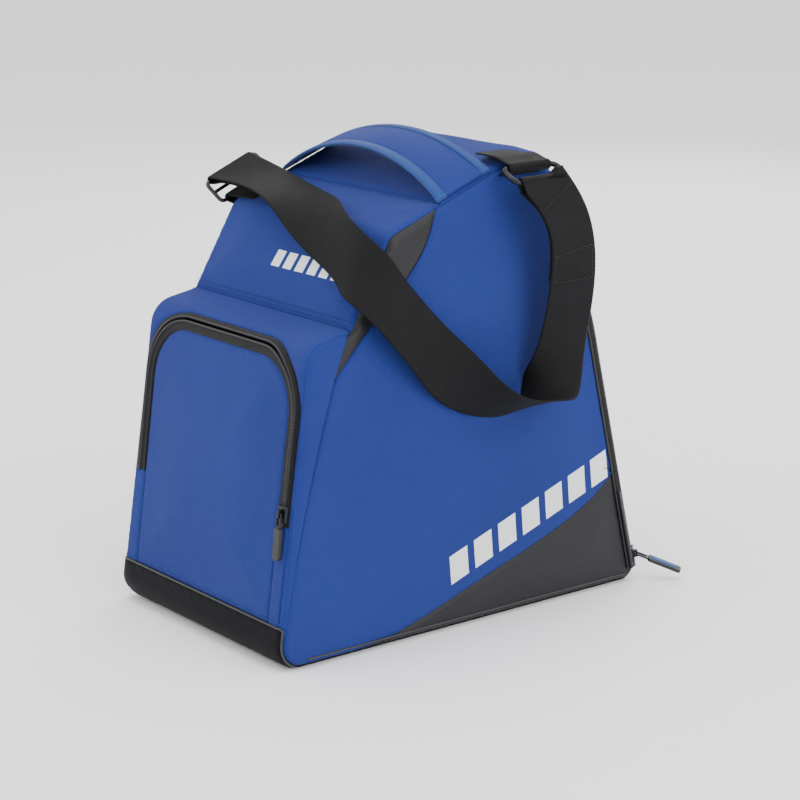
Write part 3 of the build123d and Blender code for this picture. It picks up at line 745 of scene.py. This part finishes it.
def zipper_tapes(title, line, climb, outer, tape, flap, fold):
    """Both tapes of a zipper, each sunk at its sewn edge and lifted to a low ridge beside the coil."""
    for part, offsets, lift in (
        ("body", np.linspace(0.2 * MM, outer + 1.0 * MM, 14), ZIP_LIFT),
        ("flap", np.linspace(-0.2 * MM, -tape - 1.0 * MM, 14), 0.0),
    ):
        grid, flat = strip(lambda offset: line(offset, lift), offsets, climb)
        run = np.abs(offsets)[:, None] * np.ones(grid.shape[1])
        height = 0.5 * MM * np.exp(-(((run - 2.6 * MM) / (1.4 * MM)) ** 2))
        height -= 2.0 * MM * np.exp(-(((abs(offsets[-1]) - run) / (1.3 * MM)) ** 2))
        sheet = (lean(grid, height), flat)
        body = "shell" if part == "body" else None
        node = f"{title}_zip_tape_{part}"
        piece = cloth_piece(node + "_cloth", [sheet], tape_cloth, 1.6 * MM, [node], body)
        if part == "flap":
            bend(piece, flap, climb, fold, 5 * MM)


def repeat(shape, faces, origins, axes):
    """Copies of a small shape on many frames: each vertex is origin + x a + y b + z c."""
    verts = origins[:, None] + np.einsum("vk,nkd->nvd", shape, axes)
    steps = np.arange(len(origins))[:, None, None] * len(shape)
    return verts.reshape(-1, 3), (faces[None] + steps).reshape(-1, faces.shape[1])


BAR_FACES = np.array([(0, 1, 5, 4), (1, 2, 6, 5), (2, 3, 7, 6), (3, 0, 4, 7), (3, 2, 1, 0), (4, 5, 6, 7)])


def bar(length, width, height, waist=0.7):
    """A small bar along x whose upper face is narrower than its foot."""
    foot = np.array([(-1, -1), (1, -1), (1, 1), (-1, 1)]) * [length / 2, width / 2]
    low = np.concatenate([foot, np.full((4, 1), -height / 2)], 1)
    high = np.concatenate([foot * [waist, waist], np.full((4, 1), height / 2)], 1)
    return np.concatenate([low, high])


def frames_on(points, outward):
    """Axes at points of a path: across it, along it and outward."""
    along = np.gradient(points, axis=0)
    along /= np.linalg.norm(along, axis=1, keepdims=True)
    across = np.cross(along, outward)
    across /= np.linalg.norm(across, axis=1, keepdims=True)
    return np.stack([across, along, np.cross(across, along)], 1)


def outward_at(s, c):
    """Outward normals of the shell at places on the band."""
    step = 0.2 * MM
    along = shell(s + step, c) - shell(s - step, c)
    across = shell(s, c + step) - shell(s, c - step)
    normal = np.cross(along, across)
    normal /= np.linalg.norm(normal, axis=-1, keepdims=True)
    middle = np.array([0, 0, 0.18])
    return normal * np.sign(((shell(s, c) - middle) * normal).sum(-1, keepdims=True))


def line_on(half, climb, pitch):
    """Evenly spaced points with outward normals along an arch on the shell."""
    path = whole_arch(half)
    s = climb(path[:, 1])
    points = shell(s, path[:, 0])
    count = int(np.linalg.norm(np.diff(points, axis=0), axis=1).sum() / pitch)
    places = resample(np.concatenate([points, path[:, :1], s[:, None]], 1), count)
    return places[:, :3], outward_at(places[:, 4], places[:, 3])


def zipper_coil(title, line, climb, flap, fold, body_lift):
    """The two rows of coil: short bars across the gap, the rows half a pitch apart, on a low core."""
    pitch = 1.9 * MM
    for part, offset, lift, shift in (("body", 1.15 * MM, body_lift, 0), ("flap", -1.15 * MM, 0.0, 1)):
        points, outward = line_on(line(offset, lift), climb, pitch / 2)
        points, outward = points[shift::2], outward[shift::2]
        points = points + outward * 0.8 * MM
        axes = frames_on(points, outward)
        verts, faces = repeat(bar(2.0 * MM, 1.15 * MM, 1.3 * MM, 0.72), BAR_FACES, points, axes)
        piece = make_mesh(f"{title}_zip_coil_{part}_teeth", verts, faces, black_nylon)
        node = f"{title}_zip_coil_{part}"
        if part == "body":
            attach(piece, [node], "shell")
        else:
            attach(piece, [node, f"{title}_zip_coil_ends"], None)
            bend(piece, flap, climb, fold, 4 * MM)


def tube(name, path, radius, finish, nodes, body, sides=12, closed=False, up=(1.0, 0, 0)):
    """A round cord: a circle carried along a path, measured from a direction up, closed at both ends."""
    tangent = np.gradient(path, axis=0)
    if closed:
        tangent = np.roll(path, -1, 0) - np.roll(path, 1, 0)
    tangent /= np.linalg.norm(tangent, axis=1, keepdims=True)
    side = np.cross(tangent, up)
    side /= np.linalg.norm(side, axis=1, keepdims=True)
    outward = np.cross(side, tangent)
    angle = np.linspace(0, TURN, sides, endpoint=False)
    ring = path[:, None] + radius * (
        outward[:, None] * np.cos(angle)[None, :, None] + side[:, None] * np.sin(angle)[None, :, None]
    )
    rows = len(path)
    if closed:
        ring = np.concatenate([ring, ring[:1]])
        rows += 1
    faces = grid_faces(rows, sides, close=True).tolist() if closed else closed_faces(rows, sides)
    piece = make_mesh(name, ring.reshape(-1, 3), faces, finish, turn=True)
    if closed:
        piece.modifiers.new("weld", "WELD").merge_threshold = 0.01 * MM
    return attach(piece, nodes, body)


def pipings():
    """Round pipings sewn in along the rear seams, the foot of the sides and round the bumper."""
    for side, name in ((RIGHT, "right"), (LEFT, "left")):
        rear = seam_run(S_SILL, float(s_back(0.366)), 160, 10.6 * MM)
        path = flank(rear[:, 0], rear[:, 1], side) + [side * 0.2 * MM, 0, 0]
        tube(f"rear_piping_{name}_cord", path, 1.15 * MM, dark_piping, [f"rear_piping_{name}"], "shell")
        y = np.linspace(-0.172, 0.186, 140)
        path = flank(y, np.full_like(y, 8.2 * MM), side) + [side * 0.15 * MM, 0, 0]
        tube(f"base_piping_{name}_cord", path, 0.95 * MM, grey_piping, [f"base_piping_{name}"], "shell")
    s = np.linspace(S_FRONT_LOW - 0.004, S_BUMPER, 30)
    edge = band_edge(np.interp(s, RUN, LINE[:, 1]))
    across = np.linspace(1, -1, 90)[:, None] * [edge[-1], 0] + [0, S_BUMPER]
    left_side = np.stack([-edge, s], 1)[::-1]
    path = np.concatenate([np.stack([edge, s], 1)[:-1], across[1:-1], left_side])
    path = shell(path[:, 1], path[:, 0]) + outward_at(path[:, 1], path[:, 0]) * 0.25 * MM
    path = resample(path, 240)
    tube("bumper_piping_cord", path, 1.0 * MM, grey_piping, ["bumper_piping"], "shell", up=(0, 1.0, 0))


# ---------------------------------------------------------------- strap and handle
STRAP_EDGES = np.array([      # upper and lower edge of the hanging strap, from the slide to the ring
    (-144, -37.7, 385.2, -144, -82.8, 366), (-98, -33, 376, -104, -82, 367), (-61, -40, 371, -71, -89, 366),
    (-26, -48, 369, -37, -97, 365), (6, -57, 367, -5, -103, 352), (40, -74, 368, 26, -101, 328),
    (72, -92, 364, 59, -104, 317), (100, -100, 357, 88, -109, 309), (120, -98, 344, 115, -121, 300),
    (127, -86, 331, 132, -122, 297), (126, -71, 315, 135, -109, 283), (126, -55, 296, 136, -91, 263),
    (128, -37, 276, 137, -73, 243), (136, -20, 256, 135, -52, 218), (158, -9, 233, 128, -27, 199),
    (173, 8, 212, 131, 3, 185), (180, 37, 201, 134, 34, 182), (174, 66, 202, 130, 53, 186),
    (164, 89, 204, 132, 53, 201), (150, 103, 214, 141, 55, 223), (148, 109, 240, 146, 60, 248),
    (151, 114, 270, 148, 65, 275), (155, 115, 303, 152, 66, 303), (156, 112, 337, 158, 63, 332),
    (153, 103, 366, 162, 55, 359), (146.3, 86.5, 385.5, 146.3, 37.5, 385.5),
]) * MM
STRAP_WIDTH, STRAP_THICK = 50 * MM, 1.9 * MM
RING_CENTRE, RING_SHORT = np.array([134, 62, 390]) * MM, np.array([0.87, 0, -0.49])
RING_LONG = np.array([0, 1.0, 0])
SLIDE_CENTRE = np.array([-136, -56, 365]) * MM
SLIDE_LONG, SLIDE_SHORT = np.array([0, 0.914, 0.406]), np.array([-0.68, -0.30, 0.67])
RING_REACH, SLIDE_REACH = 10 * MM, 11.3 * MM     # centre to the bars the webbing goes round


def unit(vectors):
    return vectors / np.linalg.norm(vectors, axis=-1, keepdims=True)


def lay(centres, across):
    """Axes of a ribbon along its run: square across, and the face normal."""
    along = unit(np.gradient(centres, axis=0))
    across = unit(across - (across * along).sum(1, keepdims=True) * along)
    return across, unit(np.cross(across, along))


def ribbon(name, centres, across, width, thick, finish, nodes, body):
    """Flat webbing along a run: a rounded rectangular profile, a little fuller at its two edge cords."""
    across, normal = lay(centres, across)
    a = np.linspace(-1, 1, 31)
    half = thick / 2 * (1 - np.abs(a) ** 14) ** 0.5 + 0.12 * MM * np.exp(-(((np.abs(a) - 0.93) / 0.035) ** 2))
    a = np.concatenate([a, a[-2:0:-1]])
    half = np.concatenate([half, -half[-2:0:-1]])
    grid = centres[:, None] + across[:, None] * (a * width / 2)[None, :, None]
    grid = grid + normal[:, None] * half[None, :, None]
    run = np.concatenate([[0], np.cumsum(np.linalg.norm(np.diff(centres, axis=0), axis=1))])
    uvs = np.stack(np.broadcast_arrays(a[None] * width / 2, run[:, None]), -1).reshape(-1, 2)
    faces = closed_faces(*grid.shape[:2])
    piece = make_mesh(name, grid.reshape(-1, 3), faces, finish, uvs, turn=True)
    return attach(piece, nodes, body)


def hairpin(centres, across, hub, tail, merge):
    """A run, its turn round a bar and its tail laid back beneath it.

    The turn is a half circle from the run's last point round the hub; the tail follows the run backwards,
    its gap closing from the circle's width to one thickness as exp(-(d/merge)^2).
    """
    _, normal = lay(centres, across)
    arm = centres[-1] - hub
    arm = arm - (arm @ across[-1]) * across[-1]
    hub = centres[-1] - arm
    radius = np.linalg.norm(arm)
    arm = arm / radius
    forward = np.cross(arm, across[-1])
    forward = forward * np.sign(forward @ (centres[-1] - centres[-3]))
    angle = np.linspace(0, math.pi, 16)[1:-1, None]
    turn = hub + radius * (np.cos(angle) * arm + np.sin(angle) * forward)
    travel = np.linalg.norm(np.diff(centres[::-1], axis=0), axis=1).cumsum()
    count = int(np.searchsorted(travel, tail))
    back = centres[::-1][:count]
    d = np.concatenate([[0], travel])[:count, None]
    side = normal[::-1][:count] * np.sign(normal[-1] @ arm)
    gap = STRAP_THICK * 1.12 + (2 * radius - STRAP_THICK * 1.12) * np.exp(-((d / merge) ** 2))
    near = np.exp(-((d / merge) ** 2))
    side = unit(side * (1 - near) + arm * near)
    under = back - side * gap
    return np.concatenate([centres, turn, under]), np.concatenate(
        [across, np.repeat(across[-1:], len(turn), 0), across[::-1][:count]]
    )


def relax(points, spread):
    """Smooths a run with a bell of the given spread in samples; mirrored ends keep both ends in place."""
    bell = np.exp(-0.5 * (np.arange(-3 * spread, 3 * spread + 1) / spread) ** 2)
    bell /= bell.sum()
    reach = 3 * spread
    before, after = 2 * points[0] - points[reach:0:-1], 2 * points[-1] - points[-2:-reach - 2:-1]
    longer = np.concatenate([before, points, after])
    return np.stack([np.convolve(column, bell, "valid") for column in longer.T], 1)


def stitches(name, starts, ends, outward, pitch, finish, body, length=2.3 * MM, thick=0.55 * MM):
    """Rows of thread: short rounded bars along straight runs, each run with its own outward normal."""
    places, axes = [], []
    for start, end, out in zip(np.asarray(starts), np.asarray(ends), np.asarray(outward)):
        count = max(2, int(np.linalg.norm(end - start) / pitch))
        points = start + (end - start) * (np.arange(count)[:, None] + 0.5) / count
        along = unit(end - start)
        out = unit(out - (out @ along) * along)
        places.append(points)
        axes.append(np.repeat(np.stack([along, np.cross(out, along), out])[None], count, 0))
    places, axes = np.concatenate(places), np.concatenate(axes)
    verts, faces = repeat(bar(length, thick, thick, 0.6), BAR_FACES, places, axes)
    piece = make_mesh(name, verts, faces, finish)
    return attach(piece, None, body)


def seam_stitches(name, points, outward, finish, body, pitch=3.4 * MM):
    """Thread along a curved run on the cloth."""
    count = int(np.linalg.norm(np.diff(points, axis=0), axis=1).sum() / pitch)
    both = resample(np.concatenate([points, outward * MM], 1), count)
    places, outward = both[:, :3], unit(both[:, 3:])
    axes = frames_on(places, outward)[:, [1, 0, 2]]
    thread = bar(2.3 * MM, 0.6 * MM, 0.55 * MM, 0.6)
    verts, faces = repeat(thread, BAR_FACES, places + outward * 0.1 * MM, axes)
    piece = make_mesh(name, verts, faces, finish)
    return attach(piece, None, body)


def shoulder_strap():
    """The hanging strap with both ends folded round their bars, and its stitched box."""
    edges = relax(curve(STRAP_EDGES, 330, rounds=4), 9)
    centres, across = (edges[:, :3] + edges[:, 3:]) / 2, unit(edges[:, :3] - edges[:, 3:])
    ring_bar = RING_CENTRE + RING_SHORT * RING_REACH
    slide_bar = SLIDE_CENTRE + SLIDE_SHORT * SLIDE_REACH
    run, wide = hairpin(centres, across, ring_bar, 96 * MM, 20 * MM)
    run, wide = hairpin(run[::-1], wide[::-1], slide_bar, 62 * MM, 16 * MM)
    nodes = ["shoulder_strap", "strap_loop_front", "strap_loop_rear"]
    ribbon("shoulder_strap_webbing", run, wide, STRAP_WIDTH, STRAP_THICK, black_webbing, nodes, "strap")
    square, normal = lay(centres, across)
    travel = np.concatenate([[0], np.linalg.norm(np.diff(centres[::-1], axis=0), axis=1).cumsum()])
    out = np.sign((normal[-1] * [1, 0, 0]).sum())

    def spot(d, a):
        k = len(centres) - 1 - int(np.searchsorted(travel, d))
        return centres[k] + square[k] * a + normal[k] * out * 1.05 * MM, normal[k] * out

    starts, ends, outs = [], [], []
    low, high, edge = 0.066, 0.093, 0.021
    for d0, a0, d1, a1 in (
        (low, -edge, low, edge), (high, -edge, high, edge), (low, -edge, high, -edge),
        (low, edge, high, edge), (low, -edge, high, edge), (high, -edge, low, edge),
        (0.016, -edge, 0.016, edge),
    ):
        start, normal_here = spot(d0, a0)
        starts.append(start)
        ends.append(spot(d1, a1)[0])
        outs.append(normal_here)
    stitches("strap_box_stitches", starts, ends, outs, 3.0 * MM, black_thread, "strap")


def loop_path(long, short, centre, half_long, half_short, corner, count=96):
    """A rounded rectangle in the plane of two directions: straight sides joined by quarter circles."""
    angle = np.linspace(0, math.pi / 2, 9)
    points = []
    for k, (a, b) in enumerate(((1, 1), (-1, 1), (-1, -1), (1, -1))):
        swing = angle + k * math.pi / 2
        hub = np.array([a * (half_long - corner), b * (half_short - corner)])
        points.append(hub + corner * np.stack([np.cos(swing), np.sin(swing)], 1))
    flat = np.concatenate([*points, points[0][:1]])
    flat = resample(flat, count + 1)[:-1]
    return centre + flat[:, :1] * long + flat[:, 1:] * short


def strap_hardware():
    """The dark ring at the back end and the moulded three-bar slide at the front end."""
    path = loop_path(RING_LONG, RING_SHORT, RING_CENTRE, 29.5 * MM, RING_REACH, 7 * MM)
    plane = np.cross(RING_LONG, RING_SHORT)
    tube("strap_ring_wire", path, 2.4 * MM, black_metal, ["strap_ring"], "strap", 16, True, plane)
    path = loop_path(SLIDE_LONG, SLIDE_SHORT, SLIDE_CENTRE, 28.8 * MM, SLIDE_REACH, 4 * MM)
    plane = np.cross(SLIDE_LONG, SLIDE_SHORT)
    tube("strap_slide_frame", path, 1.9 * MM, black_moulded, ["strap_slide"], "strap", 14, True, plane)
    reach = np.linspace(-28.5, 28.5, 24)[:, None] * MM
    middle = SLIDE_CENTRE + SLIDE_LONG * reach
    tube("strap_slide_bar", middle, 1.7 * MM, black_moulded, None, "strap", 12, False, SLIDE_SHORT)


def root_tabs():
    """Short webbing from the top seams round the inner bars of the ring and the slide, and back."""
    ring_bar = RING_CENTRE - RING_SHORT * RING_REACH
    slide_bar = SLIDE_CENTRE - SLIDE_SHORT * SLIDE_REACH
    yoke_up = np.array([0, -0.40, 0.916])
    for name, side, top, bar_at, up, long in (
        ("rear", RIGHT, (61, 400.4), ring_bar, np.array([0, 0, 1.0]), RING_LONG),
        ("front", LEFT, (-52.6, slope_height(-52.6)), slide_bar, yoke_up, SLIDE_LONG),
    ):
        top = np.array([0, top[0], top[1]]) * MM
        bar_x, drop = abs(bar_at[0]) / MM, ((bar_at - top) @ up) / MM
        angle = np.linspace(100, -100, 15) * math.pi / 180
        round_bar = np.stack([bar_x + 3.7 * np.cos(angle), drop + 3.7 * np.sin(angle)], 1)
        path = np.concatenate([
            [(84, 2.4), (94, 2.6), (104, 2.4), (112, 1.6), (118, (drop + 3.7 + 1) / 2)], round_bar,
            [(118, drop - 5.0), (114.6, drop - 7.5), (113.5, drop - 12)],
        ])
        flat = curve(path, 110, rounds=2) * MM
        centres = top + flat[:, :1] * [side, 0, 0] + flat[:, 1:] * up
        across = np.repeat(long[None], len(centres), 0)
        nodes = [f"strap_tab_{name}", f"strap_anchor_{name}"]
        title = f"strap_tab_{name}_webbing"
        piece = ribbon(title, centres, across, 47 * MM, 1.8 * MM, black_webbing, nodes, None)
        side * 0.116
        side * 0.1235
        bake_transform(piece)


HANDLE_STRIPS = {
    "handle_binding_front": (-26, -16), "haul_handle": (-16, 22), "handle_binding_rear": (22, 30),
}
HANDLE_Y, HANDLE_CROWN = (-26, -16, 22, 30), (407, 409.5, 417.5, 418.5)     # height of the arch at each edge


def slope_height(y):
    """Height of the sloping top at y, both in millimetres."""
    return 350 + (42 / 108) * (y + 78)


def handle_point(x, y, lift=0.0):
    """A point on the handle: an arch of a circle from seam to seam, its crown height blended across y."""
    foot = (slope_height(y / MM) + 2.2) * MM
    crown = np.interp(y / MM, HANDLE_Y, HANDLE_CROWN) * MM
    rise, half = crown - foot, 112 * MM
    radius = (half**2 + rise**2) / (2 * rise)
    z = foot - radius + rise + np.sqrt(np.maximum(radius**2 - x**2, 0))
    return np.stack(np.broadcast_arrays(x, y, z + lift), -1)


def haul_handle():
    """The arched handle: a lightly padded blue strip with a stitched binding folded over each long edge."""
    for name, (y0, y1) in HANDLE_STRIPS.items():
        main = name == "haul_handle"
        inset, rows = (0.2, 36) if main else (0, 14)
        y = np.linspace(y0 + inset, y1 - inset, rows)[:, None] * MM
        x = np.linspace(-112, 112, 150)[None] * MM
        place = (y - y.min()) / (y.max() - y.min())
        full = np.clip((112 * MM - np.abs(x)) / (10 * MM), 0, 1)
        if main:
            lift = 1.6 * MM * np.sin(math.pi * place) ** 0.7 + 0.35 * MM * ripple(handle_point(x, y))
        else:
            lift = 0.9 * MM * np.sin(math.pi * place) ** 0.5 + 0.12 * MM * np.sin(TURN * x / (5.2 * MM))
        grid = handle_point(x, y, lift * full - 0.4 * MM)
        flat = np.stack(np.broadcast_arrays(x, y), -1)
        finish = blue_cloth if main else binding_cloth
        title = f"{name}_cloth"
        cloth_piece(title, [(grid, flat)], finish, 2.4 * MM, [name], "shell", inside=(0, 0, -0.3))
    x = np.linspace(-108, 108, 200) * MM
    for index, y in enumerate((-24.3, -17.7, 23.4, 28.6)):
        points = handle_point(x, np.full_like(x, y * MM), 0.35 * MM)
        out = np.repeat([[0.0, 0.0, 1.0]], len(x), 0)
        seam_stitches(f"handle_stitches_{index}", points, out, blue_thread, "shell", 3.2 * MM)


def seam_rows():
    """Rows of thread beside the main seams of the band: two at the shelf, one at the handle and one at the
    bumper.
    """
    lower = 0.36 * MM
    for name, s, lift in (
        ("shelf_stitches_0", S_SHELF - 4 * MM, 0.9 * MM), ("shelf_stitches_1", S_SHELF - 8 * MM, 0.9 * MM),
        ("handle_seam_stitches_0", S_HANDLE + 4 * MM, lower), ("bumper_stitches_0", S_BUMPER - 4 * MM, lower),
    ):
        z = float(np.interp(s, RUN, LINE[:, 1]))
        c = np.linspace(-1, 1, 240) * (band_edge(z) - 3 * MM)
        run = np.full_like(c, s)
        points, out = shell(run, c), outward_at(run, c)
        seam_stitches(name, points + out * lift, out, blue_thread, "shell")


def hard_pieces():
    """Sliders, links, pulls and inner pieces keep their own solids, each with its finish."""
    finishes = {
        "pocket_divider": lining_cloth, "base_board": stiff_board, "seam_binding_left": tape_cloth,
        "seam_binding_right": tape_cloth, "main_zip_stops": black_metal, "pocket_zip_stops": black_metal,
        "main_zip_slider": black_metal, "pocket_zip_slider": black_metal,
        "main_zip_pull_link": black_metal, "pocket_zip_pull_link": black_metal,
        "main_zip_pull_tab": black_rubber, "pocket_zip_pull_tab": black_rubber,
        "main_zip_coil_ends": black_nylon, "pocket_zip_coil_ends": black_nylon,
    }
    for name, finish in finishes.items():
        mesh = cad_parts[name].data
        mesh.materials.clear()
        mesh.materials.append(finish)
    out, up = unit(np.array([0.607, 0.706, -0.365])), np.array([-0.023919, -0.215173, 0.976283])
    across = unit(np.cross(up, out))
    face = unit(np.cross(out, across))
    pin = np.array([0.125247, 0.199448, 0.025353])
    start = pin + out * 15 * MM + face * 1.5 * MM
    path = start + out * np.linspace(0, 24, 20)[:, None] * MM
    tube("main_pull_inlay", path, 0.9 * MM, blue_rubber, None, "main_pull", 10, False, face)


def studio():
    """Pale floor, soft light and the camera."""
    floor_mesh = bpy.data.meshes.new("floor")
    reach = 9.0
    corners = [(-reach, -reach, 0), (reach, -reach, 0), (reach, reach, 0), (-reach, reach, 0)]
    floor_mesh.from_pydata(corners, [], [(0, 1, 2, 3)])
    floor = bpy.data.objects.new("floor", floor_mesh)
    bpy.context.scene.collection.objects.link(floor)
    pale = Finish("pale_floor", Base_Color=rgb(246, 247, 249), Roughness=0.9)
    floor_mesh.materials.append(pale.material)
    world = bpy.data.worlds.new("studio")
    world.use_nodes = True
    world.node_tree.nodes["Background"].inputs["Color"].default_value = (1.0, 1.0, 1.0, 1.0)
    world.node_tree.nodes["Background"].inputs["Strength"].default_value = 1.45
    bpy.context.scene.world = world
    aim = Vector((0, 0, 0.2))
    for name, place, size, watts in (
        ("left_box", (-0.9, -2.2, 1.7), 1.6, 24),
        ("right_box", (2.4, 0.3, 1.5), 1.8, 40),
        ("top_box", (0.2, -0.2, 2.6), 1.6, 26),
        ("back_box", (-1.4, 2.0, 1.4), 1.4, 22),
    ):
        lamp = bpy.data.lights.new(name, "AREA")
        lamp.energy, lamp.size = watts, size
        box = bpy.data.objects.new(name, lamp)
        box.location = place
        box.rotation_euler = (aim - box.location).to_track_quat("-Z", "Y").to_euler()
        bpy.context.scene.collection.objects.link(box)
    lens = bpy.data.cameras.new("camera")
    lens.lens, lens.sensor_width = 102.74, 36.0
    lens.clip_end = 30.0
    camera = bpy.data.objects.new("camera", lens)
    camera.location = (1.562, -1.2013, 0.6785)
    camera.rotation_euler = (math.radians(90 - 14.30), 0, math.radians(51.92))
    bpy.context.scene.collection.objects.link(camera)
    bpy.context.scene.camera = camera


studio()
side_panels()
front_gusset()
crown_panels()
base_and_bumper()
flaps()
zipper_tapes("main", back_half, s_back, REAR_TAPE, TAPE, "back_flap", FLAP_FOLD)
zipper_tapes("pocket", pocket_half, s_front, POCKET_OUTER, POCKET_TAPE, "pocket_flap", POCKET_FOLD)
zipper_coil("main", back_half, s_back, "back_flap", FLAP_FOLD, ZIP_LIFT)
zipper_coil("pocket", pocket_half, s_front, "pocket_flap", POCKET_FOLD, ZIP_LIFT)
pipings()
shoulder_strap()
strap_hardware()
root_tabs()
haul_handle()
seam_rows()
hard_pieces()
